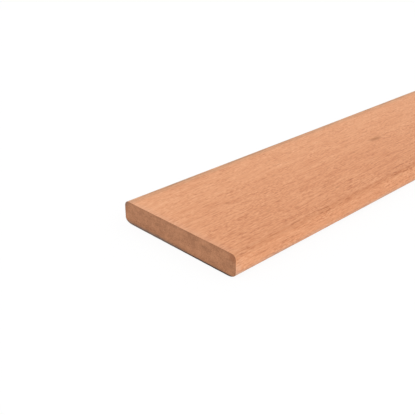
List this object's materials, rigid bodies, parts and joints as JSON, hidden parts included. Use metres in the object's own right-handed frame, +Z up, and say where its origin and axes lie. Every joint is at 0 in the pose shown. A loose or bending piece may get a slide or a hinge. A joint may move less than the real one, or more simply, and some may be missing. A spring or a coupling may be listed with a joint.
{
  "type": "decking board",
  "caption": "Straight planed hardwood decking board with a rectangular section, rounded long edges and square-sawn ends, laid flat across joists as a walking surface.",
  "frame": {"origin": "centre of the underside, on the plane the board lies on", "axes": "+X along the board's length, +Y across its width, +Z up out of the walking face"},
  "size_m": [1.8, 0.14, 0.022],
  "materials": {
    "hardwood": "planed, bare and unoiled, warm salmon brown with fine short pores along the grain"
  },
  "bodies": {
    "root": {"decking_board": "hardwood"}
  },
  "joints": []
}
